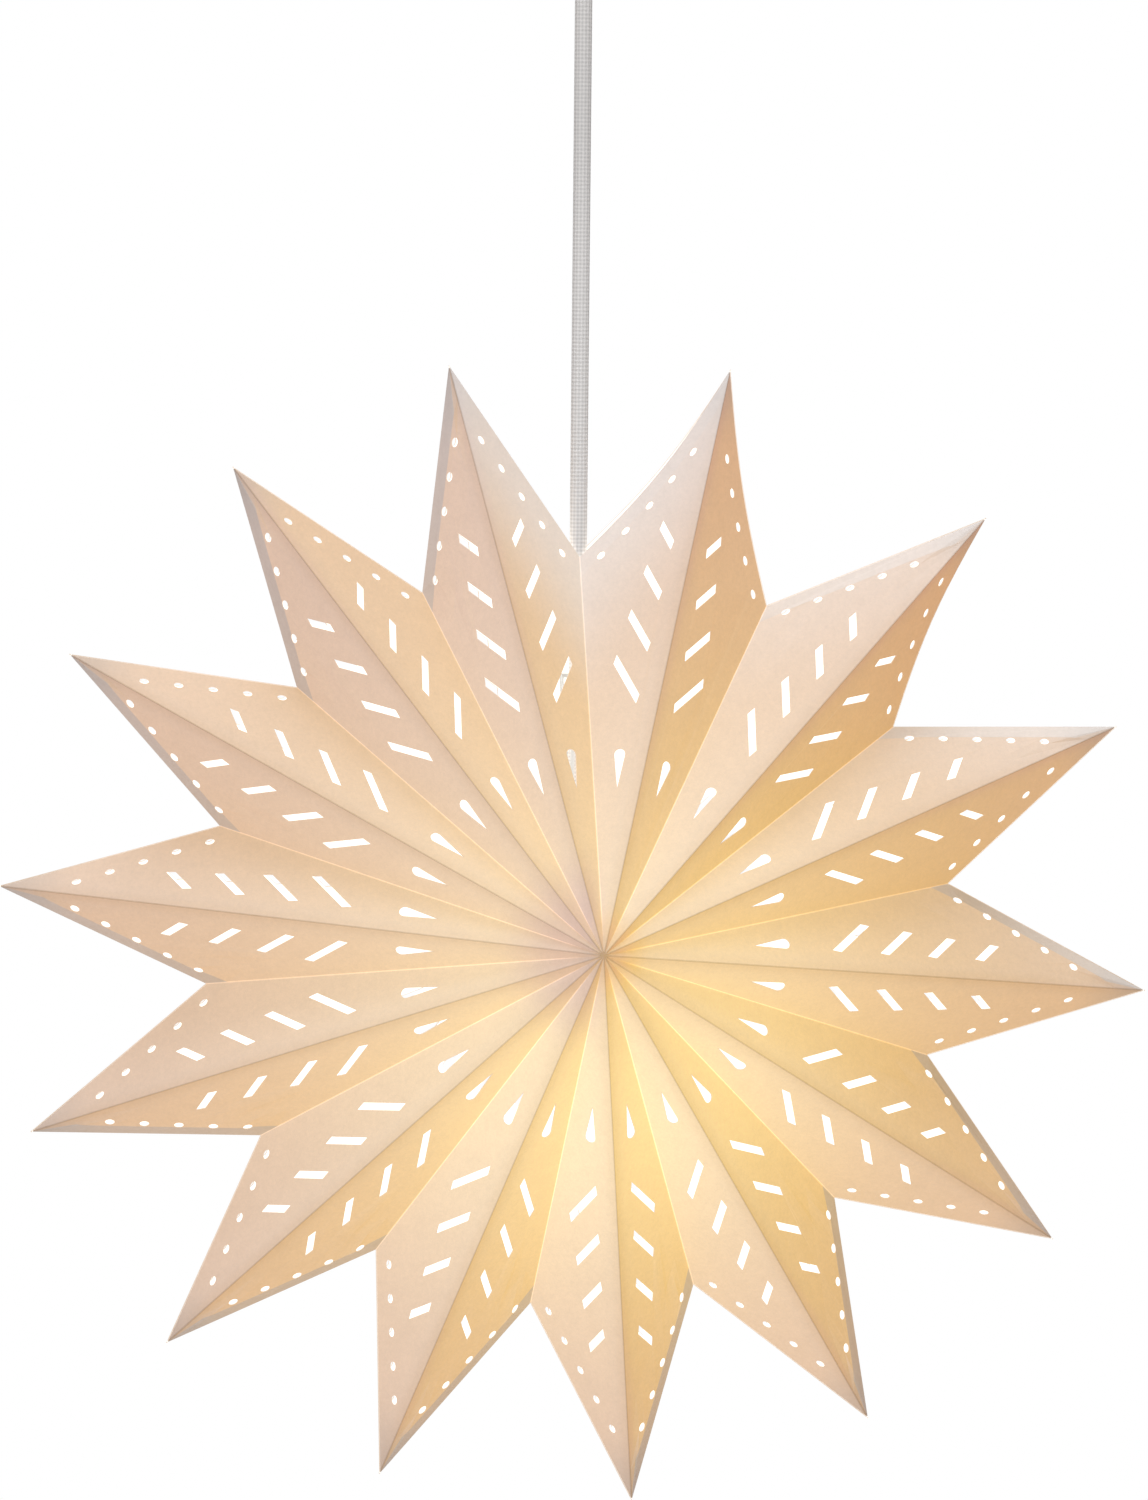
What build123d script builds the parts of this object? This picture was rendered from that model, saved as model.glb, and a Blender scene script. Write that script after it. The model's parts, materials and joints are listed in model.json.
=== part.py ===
from build123d import *
import os
from math import asin, atan2, cos, degrees, radians, sin, tan

os.makedirs("parts", exist_ok=True)

# A lit paper star that hangs on a textile cord from a ceiling cup.
# Millimetres, +Z up. The origin is where the mounting bridge meets the ceiling, on the
# cord's axis, and the star's front faces -Y.

# ---------------------------------------------------------------- driving dimensions

# The star: fourteen folded paper points, fanned round one centre.
star_drop = 440.0            # ceiling to the star's centre
star_offset_x = 2.0          # the centre hangs this far right of the cord's axis
tip_radius = 225.0           # centre to a tip
notch_radius = 146.0         # centre to the notch between two points
star_half_depth = 70.0       # mid-plane to the front centre
paper = 0.4                  # thickness of the paper
centre_hole_radius = 1.5     # the pinhole where all the folds meet
glue_flange = 8.0            # width of the glued edge inside each valley fold
glue_flap = 5.0              # width of the flap that closes each point
flap_tip_mitre = 14.0        # the flap's tip end is cut back this far
flap_notch_mitre = 4.0       # its notch end is cut back this far
# Directions of the tips, clockwise from straight up, as the fan has opened by hand.
tip_angles = [14.5, 44.3, 69.2, 96.1, 122.9, 148.9, 174.2, 199.9, 225.2, 250.4, 275.0,
              298.8, 323.1, 346.5]

# The pattern cut in every panel, measured along the ridge fold and out from it.
slit_count = 4
slit_start = 101.0           # first slit's inner end, from the star's front centre
slit_pitch = 20.8
slit_ridge_gap = 8.6         # inner ends of the slits to the ridge fold
slit_length = 19.0           # longest slit, nearest the centre
slit_length_step = 2.85      # each one further out is shorter by this much
slit_width = 2.85
slit_lean = 40.4             # degrees between a slit and the ridge fold
slit_end_lean = 8.6          # degrees between a slit's end cut and the ridge fold
drop_point = 65.8            # pointed end of the teardrop, from the front centre
drop_length = 15.6
drop_radius = 2.15

# The cord and its bend below the ceiling cup.
cord_radius = 3.3
cord_passage = 0.5           # between the cord and the paper at the seam
cord_bend_length = 6.0       # the short length of cord that bends
cord_bend_gap = 0.1          # from it to the cord above and below
swing_limit = 15.0           # degrees either way, to which its ends are cut
core_radius = 1.1            # one insulated core of the cord
wire_sides = 8               # of every thin wire's section
peg_sides = 12               # of small round parts that stay out of sight
core_spread = 1.7            # core centre to cord centre, where the sleeve is cut
core_straight = 7.0          # each core runs on straight before it turns aside
core_reach = 19.0            # and swings out this far in front of the cord

# The ceiling fitting.
bridge_width = 20.0
bridge_thickness = 1.5
bridge_ear = 13.0            # length of the ears, bent down
bridge_bend = 1.5            # inner radius of the bends
bridge_gap = 0.3             # ears to the inside of the cup
ceiling_slot_spacing = 50.0
ceiling_slot_width = 4.5
ceiling_slot_length = 12.0
cup_width = 80.0             # the ceiling cup is square
cup_height = 55.0
cup_wall = 1.6
cup_corner = 6.0
cup_rim_gap = 1.0            # cup's rim to the ceiling
cup_screw_drop = 8.0         # side screws below the ceiling
cup_screw_radius = 2.0
cup_screw_inside = 2.0       # tip of a side screw beyond the ear
cup_screw_gap = 0.15
cup_screw_across = 7.0       # across the flats of its head
cup_screw_head = 2.4
thread_gap = 0.05            # between a screw and its tapped hole
block_length = 24.0          # the terminal block, along Y
block_width = 18.0
block_height = 13.0
block_lip = 1.2              # its lips grip the bridge's edges
block_lip_height = 1.2
block_fit = 0.05
block_pole_spacing = 9.0
block_bore_radius = 2.0
block_bore_drop = 6.5        # below the bridge
core_in_block = 5.0
grip_thread_radius = 5.0
grip_thread_length = 12.0
grip_thread_gap = 0.1
grip_across = 16.0           # across the flats of its body
grip_length = 13.0
grip_bore_gap = 0.3
grip_nut_across = 14.0
grip_nut_thickness = 3.0
grip_screw_radius = 1.5
grip_screw_drop = 4.0        # below the cup
grip_screw_proud = 0.6
cord_end_gap = 0.05          # screw tips, and the lamp holder's insert, to the cord
sleeve_end = 37.0            # the cord's sleeve is cut this far below the ceiling

# The lamp holder and the bulb that screws into it. Heights are from the bulb's middle.
bulb_drop = 45.0             # star's centre to the bulb's middle
bulb_radius = 11.0
bulb_bottom = 27.0           # middle to the lowest point of the glass
bulb_cap_start = 34.5        # middle to the screw cap
bulb_cap_radius = 6.9        # small screw cap, 14 mm over the thread
bulb_cap_length = 18.0
bulb_insulator = 2.5
bulb_insulator_radius = 5.0
bulb_contact_radius = 2.3
bulb_contact = 1.2
socket_gap = 0.9             # all round the screw cap
socket_rim = 38.0            # middle to the insert's lower face
contact_gap = 0.3            # bulb's contact to the spring above it
contact_width = 4.0
contact_strip = 0.4
contact_rise = 1.1           # the contact spring's foot stands this much higher
contact_foot = 3.5
side_contact_gap = 0.15      # screw cap to the side spring
insert_head = 4.0            # thickness of the insert above its pocket
insert_fit = 0.1
insert_sides = 8             # its flats, which leave room for the two cores
holder_radius = 14.0
holder_wall = 1.6
holder_rim = 31.0            # middle to the rim of the holder's shell
holder_shell_end = 76.0      # middle to the top of the body
holder_neck = 10.0
holder_neck_across = 13.0
clamp_screw_radius = 1.5
clamp_screw_proud = 0.7

# What carries the star on the lamp holder and keeps its seam shut.
wire_radius = 0.8
wire_eye_gap = 1.1           # eye of the wire bracket to the cord
wire_rest_gap = 0.1          # eye to the top of the lamp holder
wire_hook_height = 100.0     # hooks above the star's centre
wire_hook_length = 5.0
wire_leg_offset = 3.2        # legs to the cord's middle, away from the hooks' ends
wire_hole_gap = 0.3
clip_heights = [38.0, 68.0]  # seam clips, from the star's centre towards the notch
clip_length = 10.0
clip_reach = 5.0
clip_wall = 0.8
clip_gap = 0.05


# ---------------------------------------------------------------- helpers

def save(node, shape):
    """Write one sub-part to its own STEP file."""
    export_step(shape, "parts/" + node + ".step")


def polyhedron(faces):
    """A solid with flat faces, each given by its corners."""
    sides = [Face(Wire.make_polygon(corners, close=True)) for corners in faces]
    return Solid(Shell(sides))


def prism(radius, sides, bottom, top, flats=False):
    """An upright bar with flat sides; the radius is to its corners, or to its flats."""
    section = RegularPolygon(radius, sides, major_radius=not flats).face()
    return extrude(Pos(0, 0, bottom) * section, amount=top - bottom)


def rod(radius, bottom, top):
    """An upright round rod between two heights."""
    return Pos(0, 0, (bottom + top) / 2) * Cylinder(radius, top - bottom)


def side_rod(radius, start, end, height):
    """A round rod along X between two places."""
    return Pos((start + end) / 2, 0, height) * Rot(0, 90, 0) * Cylinder(radius, abs(end - start))


def side_peg(radius, start, end, height):
    """A small screw's shank along X; it stays out of sight, so it has few sides."""
    section = Rot(0, 90, 0) * RegularPolygon(radius, peg_sides).face()
    return extrude(Pos(start, 0, height) * section, amount=end - start)


def wire(points, radius):
    """A thin wire along straight runs; its section has few sides to keep it light."""
    path = Polyline(*points)
    start = Plane(origin=path @ 0, z_dir=path % 0)
    section = RegularPolygon(radius, wire_sides, major_radius=False).face()
    return sweep(start * section, path=path, transition=Transition.RIGHT)


# ---------------------------------------------------------------- the paper points

star_centre = Vector(star_offset_x, 0, -star_drop)
front_centre = star_centre + Vector(0, -star_half_depth, 0)
back_centre = star_centre + Vector(0, star_half_depth, 0)
passage_radius = cord_radius + cord_passage


def on_star(angle, radius, y=0.0):
    """A point of the star, by its direction clockwise from straight up."""
    return star_centre + Vector(radius * sin(radians(angle)), y, radius * cos(radians(angle)))


# The seam is straight above the lamp holder, so the cord drops in between two points,
# and there the front and back notch are spread just far enough to pass round it.
seam_angle = -degrees(asin(star_offset_x / notch_radius))
seam_half_gap = passage_radius + 1.5 * paper
seam_notches = [on_star(seam_angle, notch_radius, -seam_half_gap),
                on_star(seam_angle, notch_radius, seam_half_gap)]


def notch_corners(index):
    """Front and back corner of the notch that follows a point, going clockwise."""
    if index % len(tip_angles) == len(tip_angles) - 1:
        return seam_notches
    corner = on_star((tip_angles[index] + tip_angles[index + 1]) / 2, notch_radius)
    return [corner, corner]


def wedge(tip, before, after):
    """The full space inside one point, from the star's centre line to its tip."""
    faces = [(front_centre, before[0], tip), (front_centre, tip, after[0]),
             (back_centre, tip, before[1]), (back_centre, after[1], tip)]
    for front, back in (before, after):
        if front == back:
            faces.append((front_centre, front, back_centre))
        else:
            faces.append((front_centre, front, back, back_centre))
            faces.append((tip, front, back))
    return polyhedron(faces)


def window(notch):
    """Clears the side of a point, but for the glued flange along its folds."""
    front, back = notch
    corners = [front_centre, front, back, back_centre,
               star_centre * 2 - front, star_centre * 2 - back]
    if front == back:
        corners = [front_centre, front, back_centre, star_centre * 2 - front]
    opening = offset(Face(Wire.make_polygon(corners, close=True)), amount=-glue_flange,
                     kind=Kind.INTERSECTION)
    return extrude(opening.face(), amount=2 * paper, both=True)


def panel_plane(centre, tip, notch):
    """A panel's plane: x along the ridge fold, y towards the notch."""
    return Plane(origin=centre, x_dir=tip - centre, z_dir=(tip - centre).cross(notch - centre))


def slit(number):
    """One slanting slit, as a parallelogram on the panel."""
    middle = Vector(slit_start + number * slit_pitch, slit_ridge_gap)
    length = slit_length - number * slit_length_step
    run = Vector(cos(radians(slit_lean)), sin(radians(slit_lean))) * length
    end = Vector(-cos(radians(slit_end_lean)), sin(radians(slit_end_lean)))
    end = end * (slit_width / sin(radians(slit_lean + slit_end_lean)))
    first = middle - end / 2
    return Face(Wire.make_polygon([first, first + run, first + run + end, first + end],
                                  close=True))


def teardrop(direction):
    """The drop nearest the centre: a point inwards, a blunt end outwards."""
    shoulder = drop_length - drop_radius
    end = drop_radius / 2
    outline = [(0, 0), (shoulder, -drop_radius), (drop_length, -end), (drop_length, end),
               (shoulder, drop_radius)]
    drop = Face(Wire.make_polygon(outline, close=True))
    return Rot(0, 0, degrees(direction)) * Pos(drop_point, 0) * drop


def pattern(centre, tip, notch):
    """Everything that is punched out of one panel."""
    plane = panel_plane(centre, tip, notch)
    corner = plane.to_local_coords(notch)
    shapes = [slit(number) for number in range(slit_count)]
    shapes.append(teardrop(atan2(corner.Y, corner.X) / 2))
    return [extrude(plane * shape, amount=2 * paper, both=True) for shape in shapes]


def closing_flap(tip, notch):
    """The flap from the back panel that is glued inside the front one, along its edge."""
    plane = panel_plane(front_centre, tip, notch)
    outer, inner = plane.to_local_coords(tip), plane.to_local_coords(notch)
    edge = (outer - inner).normalized()
    inwards = Vector(edge.Y, -edge.X)
    start, end = inner + inwards * paper, outer + inwards * paper
    corners = [start + edge * paper, end - edge * 2 * paper,
               end - edge * flap_tip_mitre + inwards * glue_flap,
               start + edge * flap_notch_mitre + inwards * glue_flap]
    face = plane * Face(Wire.make_polygon(corners, close=True))
    depth = paper if plane.z_dir.Y > 0 else -paper
    return extrude(Pos(plane.z_dir * depth) * face, dir=plane.z_dir, amount=depth)


# The seam's front and back folds, from the star's centre line to the notch.
seam_rise = star_half_depth - seam_half_gap
seam_slope = atan2(seam_rise, notch_radius)
seam_up = on_star(seam_angle, 1.0) - star_centre


def in_seam(height, side, depth):
    """A place on the seam's flange: up from the centre, front (-1) or back (1), and inwards."""
    fold = star_half_depth - height * tan(seam_slope)
    inwards = Vector(0, -side, 0) * cos(seam_slope) - seam_up * sin(seam_slope)
    return star_centre + seam_up * height + Vector(0, side * fold, 0) + inwards * depth


def hook_spot(side):
    """Where the wire bracket hooks through the seam's flange."""
    return in_seam(wire_hook_height, side, glue_flange / 2)


def paper_point(index):
    """One point: a single sheet folded into four panels, its flap and its flanges."""
    tip = on_star(tip_angles[index], tip_radius)
    before, after = notch_corners(index - 1), notch_corners(index)
    full = wedge(tip, before, after)
    folded = full - offset(full, amount=-paper, kind=Kind.INTERSECTION)
    folded = folded + closing_flap(tip, before[0])
    cuts = [window(before), window(after)]
    for notch in (before, after):
        cuts += pattern(front_centre, tip, notch[0])
        cuts += pattern(back_centre, tip, notch[1])
    pinhole = RegularPolygon(centre_hole_radius, len(tip_angles)).face()
    pinhole = extrude(Rot(90, 0, 0) * pinhole, amount=2 * star_half_depth, both=True)
    cuts.append(Pos(star_centre) * pinhole)
    if seam_notches in (before, after):
        passage = RegularPolygon(passage_radius, len(tip_angles), major_radius=False).face()
        cuts.append(extrude(Pos(0, 0, -star_drop) * passage, amount=2 * notch_radius))
        punch = RegularPolygon(wire_radius + wire_hole_gap, wire_sides, major_radius=False)
        for side in (-1, 1):
            hole = Pos(hook_spot(side)) * Rot(0, 90, 0) * punch.face()
            cuts.append(extrude(hole, amount=wire_hook_length, both=True))
    return folded - cuts


for index in range(len(tip_angles)):
    save(f"paper_point_{index + 1:02d}", paper_point(index))


# ---------------------------------------------------------------- the ceiling fitting

cup_half = cup_width / 2
cup_bottom = -cup_rim_gap - cup_height
ear_x = cup_half - cup_wall - bridge_gap
ear_inside = ear_x - bridge_thickness

# The bridge: a strip with both ends bent down, slotted for two ceiling screws.
strip = Pos(0, 0, -bridge_ear / 2) * Box(2 * ear_x, bridge_width, bridge_ear)
strip -= Pos(0, 0, -bridge_thickness - bridge_ear / 2) * Box(2 * ear_inside, bridge_width,
                                                             bridge_ear)
bends = strip.edges().filter_by(Axis.Y).group_by(Axis.Z)
strip = fillet(bends[-1], bridge_bend + bridge_thickness)
bends = strip.edges().filter_by(Axis.Y).filter_by_position(
    Axis.Z, -bridge_thickness - 0.1, -bridge_thickness + 0.1)
strip = fillet(bends, bridge_bend)
ceiling_slot = SlotOverall(ceiling_slot_length, ceiling_slot_width).face()
for side in (-1, 1):
    slot_place = Pos(side * ceiling_slot_spacing / 2, 0)
    strip -= extrude(slot_place * ceiling_slot, amount=2 * bridge_thickness, both=True)
strip -= side_rod(cup_screw_radius + thread_gap, -cup_half, cup_half, -cup_screw_drop)
save("mounting_bridge", strip)

# The cup is open towards the ceiling and hangs on the bridge's ears by two side screws.
floor = cup_bottom + cup_wall
cup = Pos(0, 0, cup_bottom + cup_height / 2) * Box(cup_width, cup_width, cup_height)
cup = fillet(cup.edges().filter_by(Axis.Z), cup_corner)
cup = offset(cup, amount=-cup_wall, openings=cup.faces().sort_by(Axis.Z)[-1])
cup -= rod(grip_thread_radius + grip_thread_gap, cup_bottom - cup_wall, floor + cup_wall)
cup -= side_rod(cup_screw_radius + cup_screw_gap, -cup_width, cup_width, -cup_screw_drop)
save("ceiling_cup", cup)

cup_screws = []
for side in (-1, 1):
    tip_x = side * (ear_inside - cup_screw_inside)
    head_x = side * cup_half
    screw = side_peg(cup_screw_radius, tip_x, head_x, -cup_screw_drop)
    head = Rot(0, 90, 0) * RegularPolygon(cup_screw_across / 2, 6, major_radius=False).face()
    screw += extrude(Pos(head_x, 0, -cup_screw_drop) * head, amount=side * cup_screw_head)
    cup_screws.append(screw)
save("cup_screws", Compound(cup_screws))

# The terminal block sits under the bridge, with a lip down each of the bridge's edges.
block_top = -bridge_thickness
block = Pos(0, 0, block_top - block_height / 2) * Box(block_width, block_length, block_height)
lip_inside = bridge_width / 2 + block_fit
for side in (-1, 1):
    lip = Box(block_width, block_lip, block_lip_height)
    lip_place = Pos(0, side * (lip_inside + block_lip / 2), block_top + block_lip_height / 2)
    block += lip_place * lip
bore_height = block_top - block_bore_drop
for side in (-1, 1):
    bore = Rot(90, 0, 0) * Cylinder(block_bore_radius, 2 * block_length)
    block -= Pos(side * block_pole_spacing / 2, 0, bore_height) * bore
save("terminal_block", block)

# The cord grip: its thread goes up through the cup's floor into a nut.
grip_bottom = cup_bottom - grip_length
grip_bore = cord_radius + grip_bore_gap
grip = prism(grip_across / 2, 6, grip_bottom, cup_bottom, flats=True)
grip += rod(grip_thread_radius, cup_bottom, cup_bottom + grip_thread_length)
grip -= rod(grip_bore, 2 * grip_bottom, 0)
grip_screw_z = cup_bottom - grip_screw_drop
grip -= side_rod(grip_screw_radius + thread_gap, 0, grip_across, grip_screw_z)
save("cord_grip", grip)
save("grip_screw", side_peg(grip_screw_radius, cord_radius + cord_end_gap,
                            grip_across / 2 + grip_screw_proud, grip_screw_z))

nut = prism(grip_nut_across / 2, 6, floor, floor + grip_nut_thickness, flats=True)
save("grip_nut", nut - rod(grip_thread_radius + thread_gap, cup_bottom, 0))


# ---------------------------------------------------------------- the cord

# The cord hangs straight. Just below the grip a short length stands for its bend: its
# top is cut to a low roof so that it can lean sideways, its foot so that the cord below
# can lean to the front and back.
bend_half = cord_bend_length / 2
bend_z = grip_bottom - 2 * cord_bend_gap - bend_half
slant = 2 * cord_radius * tan(radians(swing_limit))
bend = Pos(0, 0, bend_z) * Cylinder(cord_radius, cord_bend_length)
roof = Polygon((0, 0), (2 * cord_radius, -slant), (2 * cord_radius, slant),
               (-2 * cord_radius, slant), (-2 * cord_radius, -slant), align=None).face()
top_cut = extrude(Rot(90, 0, 0) * roof, amount=cord_radius, both=True)
bend -= Pos(0, 0, bend_z + bend_half) * top_cut
bend -= Pos(0, 0, bend_z - bend_half) * Rot(180, 0, 90) * top_cut
save("cord_bend", bend)
save("cord_top", rod(cord_radius, bend_z + bend_half + cord_bend_gap, -sleeve_end))

# Inside the cup the sleeve is stripped, and each core loops forwards into the block.
cores = []
for side in (-1, 1):
    pole_x = side * block_pole_spacing / 2
    route = [(side * core_spread, 0, -sleeve_end),
             (side * core_spread, 0, -sleeve_end + core_straight),
             (pole_x, -core_reach, bore_height - block_height),
             (pole_x, -core_reach, bore_height),
             (pole_x, core_in_block - block_length / 2, bore_height)]
    cores.append(wire(route, core_radius))
save("cord_cores", Compound(cores))


# ---------------------------------------------------------------- the bulb

bulb_middle = -star_drop - bulb_drop
cap_start = bulb_middle + bulb_cap_start
cap_end = cap_start + bulb_cap_length
contact_start = cap_end + bulb_insulator
contact_end = contact_start + bulb_contact
# The glass is opal and closed, so it is solid.
save("bulb_glass", rod(bulb_radius, bulb_middle - bulb_bottom, cap_start))
save("bulb_cap", rod(bulb_cap_radius, cap_start, cap_end))
save("bulb_insulator", prism(bulb_insulator_radius, peg_sides, cap_end, contact_start))
save("bulb_contact", prism(bulb_contact_radius, peg_sides, contact_start, contact_end))


# ---------------------------------------------------------------- the lamp holder

socket_radius = bulb_cap_radius + socket_gap
pocket_top = contact_end + contact_gap + contact_strip + contact_rise
insert_top = pocket_top + insert_head
holder_inside = holder_radius - holder_wall
insert_radius = holder_inside - insert_fit
shell_top = bulb_middle + holder_shell_end
holder_top = shell_top + holder_neck
insert_bottom = bulb_middle + socket_rim
insert = prism(insert_radius, insert_sides, insert_bottom, insert_top)
save("lamp_insert", insert - rod(socket_radius, bulb_middle, pocket_top))

shell = rod(holder_radius, bulb_middle + holder_rim, shell_top)
shell -= rod(holder_inside, bulb_middle + holder_rim, insert_top)
shell += prism(holder_neck_across / 2, 6, shell_top, holder_top, flats=True)
clamp_z = shell_top + holder_neck / 2
shell -= rod(cord_radius + grip_bore_gap, insert_top, holder_top)
shell -= side_rod(clamp_screw_radius + thread_gap, 0, holder_neck_across, clamp_z)
save("holder_shell", shell)
save("clamp_screw", side_peg(clamp_screw_radius, cord_radius + cord_end_gap,
                             holder_neck_across / 2 + clamp_screw_proud, clamp_z))

# Two springs of bent strip: one presses on the bulb's contact, one on its screw cap.
spring_low = contact_end + contact_gap
spring_high = pocket_top - contact_strip
half = contact_width / 2
centre_spring = [(-half, spring_low), (half, spring_low), (half, spring_low + contact_strip),
                 (-half, spring_low + contact_strip), (-half - contact_rise, pocket_top),
                 (-half - contact_rise - half, pocket_top),
                 (-half - contact_rise - half, spring_high),
                 (-half - contact_rise, spring_high)]
side_near = bulb_cap_radius + side_contact_gap
side_far = side_near + contact_strip
side_spring = [(side_near, insert_bottom), (side_far, insert_bottom),
               (side_far, pocket_top), (side_far - contact_foot, pocket_top),
               (side_far - contact_foot, spring_high), (side_near, spring_high)]
for node, outline in (("centre_contact", centre_spring), ("side_contact", side_spring)):
    face = Face(Wire.make_polygon([(x, 0, z) for x, z in outline], close=True))
    save(node, extrude(face, amount=half, dir=(0, 1, 0), both=True))

cord_end = insert_top + cord_end_gap
cord_start = bend_z - bend_half - cord_bend_gap
save("pendant_cord", rod(cord_radius, cord_end, cord_start))
print("cord below the ceiling grip:", round(grip_bottom - cord_end, 1), "mm")


# ---------------------------------------------------------------- what carries the star

# One bent wire: an eye that rests on the lamp holder round the cord, and two legs that
# hook through the seam's flanges, front and back.
eye = cord_radius + wire_eye_gap + wire_radius
eye_z = holder_top + wire_rest_gap + wire_radius
front_hook, back_hook = hook_spot(-1), hook_spot(1)
save("wire_bracket", wire([
    (wire_hook_length, front_hook.Y, front_hook.Z), (-wire_leg_offset, front_hook.Y, front_hook.Z),
    (-wire_leg_offset, -eye, eye_z), (eye, -eye, eye_z), (eye, eye, eye_z),
    (-wire_leg_offset, eye, eye_z), (-wire_leg_offset, back_hook.Y, back_hook.Z),
    (wire_hook_length, back_hook.Y, back_hook.Z)], wire_radius))

# Four spring clips pinch the seam's two flanges together, edge on.
near, far = paper + clip_gap, paper + clip_gap + clip_wall
clip_outline = [(-far, -clip_reach), (-near, -clip_reach), (-near, clip_gap),
                (near, clip_gap), (near, -clip_reach), (far, -clip_reach),
                (far, clip_gap + clip_wall), (-far, clip_gap + clip_wall)]
clip = extrude(Face(Wire.make_polygon(clip_outline, close=True)), amount=clip_length / 2,
               both=True)
clips = []
for side in (-1, 1):
    for height in clip_heights:
        foot = in_seam(height, side, glue_flange)
        outwards = in_seam(height + 1, side, 0) - in_seam(height, side, 0)
        inwards = foot - in_seam(height, side, 0)
        clips.append(Plane(origin=foot, x_dir=inwards.cross(outwards), z_dir=outwards) * clip)
save("seam_clips", Compound(clips))
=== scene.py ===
import json
from math import asin, atan2, cos, pi, radians, sin, tan

import bmesh
import bpy
from mathutils import Matrix, Vector


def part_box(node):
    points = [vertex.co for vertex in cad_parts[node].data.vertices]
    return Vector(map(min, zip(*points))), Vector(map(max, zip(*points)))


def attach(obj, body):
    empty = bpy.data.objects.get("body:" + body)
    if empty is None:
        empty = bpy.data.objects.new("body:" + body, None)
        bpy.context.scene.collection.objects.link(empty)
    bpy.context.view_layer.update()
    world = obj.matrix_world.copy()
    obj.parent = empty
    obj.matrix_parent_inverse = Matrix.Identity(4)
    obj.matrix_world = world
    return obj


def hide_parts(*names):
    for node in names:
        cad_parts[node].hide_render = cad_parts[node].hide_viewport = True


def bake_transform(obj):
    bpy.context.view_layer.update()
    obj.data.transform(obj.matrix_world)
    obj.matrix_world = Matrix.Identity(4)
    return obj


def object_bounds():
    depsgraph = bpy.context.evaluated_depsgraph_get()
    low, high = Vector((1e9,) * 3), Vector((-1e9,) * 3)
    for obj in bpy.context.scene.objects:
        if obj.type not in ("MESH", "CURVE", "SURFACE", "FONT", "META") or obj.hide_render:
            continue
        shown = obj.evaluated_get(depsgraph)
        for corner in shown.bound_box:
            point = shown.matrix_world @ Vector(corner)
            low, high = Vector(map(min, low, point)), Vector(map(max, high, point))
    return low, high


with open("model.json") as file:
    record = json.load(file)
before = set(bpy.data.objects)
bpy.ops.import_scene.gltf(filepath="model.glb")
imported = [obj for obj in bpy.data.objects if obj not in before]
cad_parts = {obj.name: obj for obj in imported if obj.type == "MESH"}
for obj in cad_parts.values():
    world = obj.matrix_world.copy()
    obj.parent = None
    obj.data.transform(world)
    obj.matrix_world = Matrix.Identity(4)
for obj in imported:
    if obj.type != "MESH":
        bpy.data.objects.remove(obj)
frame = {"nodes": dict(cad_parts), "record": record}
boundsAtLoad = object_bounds()
nodes = frame["nodes"]


def mm(value):
    return value / 1000


def inMillimetres(value):
    return value * 1000


def shaderOf(material):
    return material.node_tree.nodes["Principled BSDF"]


def newMaterial(name, color, roughness, metallic=0.0):
    material = bpy.data.materials.new(name)
    material.use_nodes = True
    shader = shaderOf(material)
    shader.inputs["Base Color"].default_value = (*color, 1)
    shader.inputs["Roughness"].default_value = roughness
    shader.inputs["Metallic"].default_value = metallic
    return material


def link(tree, source, target):
    tree.links.new(source, target)


def feed(tree, target, value):      # links another node's output, or sets a plain value
    if isinstance(value, bpy.types.NodeSocket):
        link(tree, value, target)
    elif isinstance(value, tuple) and len(target.default_value) > len(value):
        target.default_value = (*value, 1)
    else:
        target.default_value = value


def mathNode(tree, operation, *values, clamp=False):
    node = tree.nodes.new("ShaderNodeMath")
    node.operation = operation
    node.use_clamp = clamp
    for target, value in zip(node.inputs, values):
        feed(tree, target, value)
    return node.outputs[0]


def vectorNode(tree, operation, first, second, output="Vector"):
    node = tree.nodes.new("ShaderNodeVectorMath")
    node.operation = operation
    feed(tree, node.inputs[0], first)
    feed(tree, node.inputs[1], second)
    return node.outputs[output]


def scaledBy(tree, vector, factor):
    node = tree.nodes.new("ShaderNodeVectorMath")
    node.operation = "SCALE"
    feed(tree, node.inputs[0], vector)
    feed(tree, node.inputs["Scale"], factor)
    return node.outputs[0]


def mixColor(tree, factor, first, second):
    node = tree.nodes.new("ShaderNodeMix")
    node.data_type = "RGBA"
    for place, value in ((0, factor), (6, first), (7, second)):      # a mix node's color sockets
        feed(tree, node.inputs[place], value)
    return node.outputs[2]


def mixShader(tree, factor, first, second):
    node = tree.nodes.new("ShaderNodeMixShader")
    for target, source in zip(node.inputs, (factor, first, second)):
        link(tree, source, target)
    return node.outputs[0]


def ramp(tree, value, low, high):      # 0 at low, 1 at high, smooth between
    node = tree.nodes.new("ShaderNodeMapRange")
    node.interpolation_type = "SMOOTHSTEP"
    link(tree, value, node.inputs["Value"])
    node.inputs["From Min"].default_value = low
    node.inputs["From Max"].default_value = high
    return node.outputs["Result"]


def fade(tree, value, low, high):      # 1 up to low, 0 from high on
    return mathNode(tree, "SUBTRACT", 1.0, ramp(tree, value, low, high))


def noise(tree, vector, scale, detail=3.0, roughness=0.5):
    node = tree.nodes.new("ShaderNodeTexNoise")
    link(tree, vector, node.inputs["Vector"])
    for socketName, value in (("Scale", scale), ("Detail", detail), ("Roughness", roughness)):
        feed(tree, node.inputs[socketName], value)
    return node.outputs["Fac"]


def unpackedMap(tree, name):
    place = tree.nodes.new("ShaderNodeUVMap")
    place.uv_map = name
    split = tree.nodes.new("ShaderNodeSeparateXYZ")
    link(tree, place.outputs["UV"], split.inputs[0])
    return split.outputs["X"], split.outputs["Y"]


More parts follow.
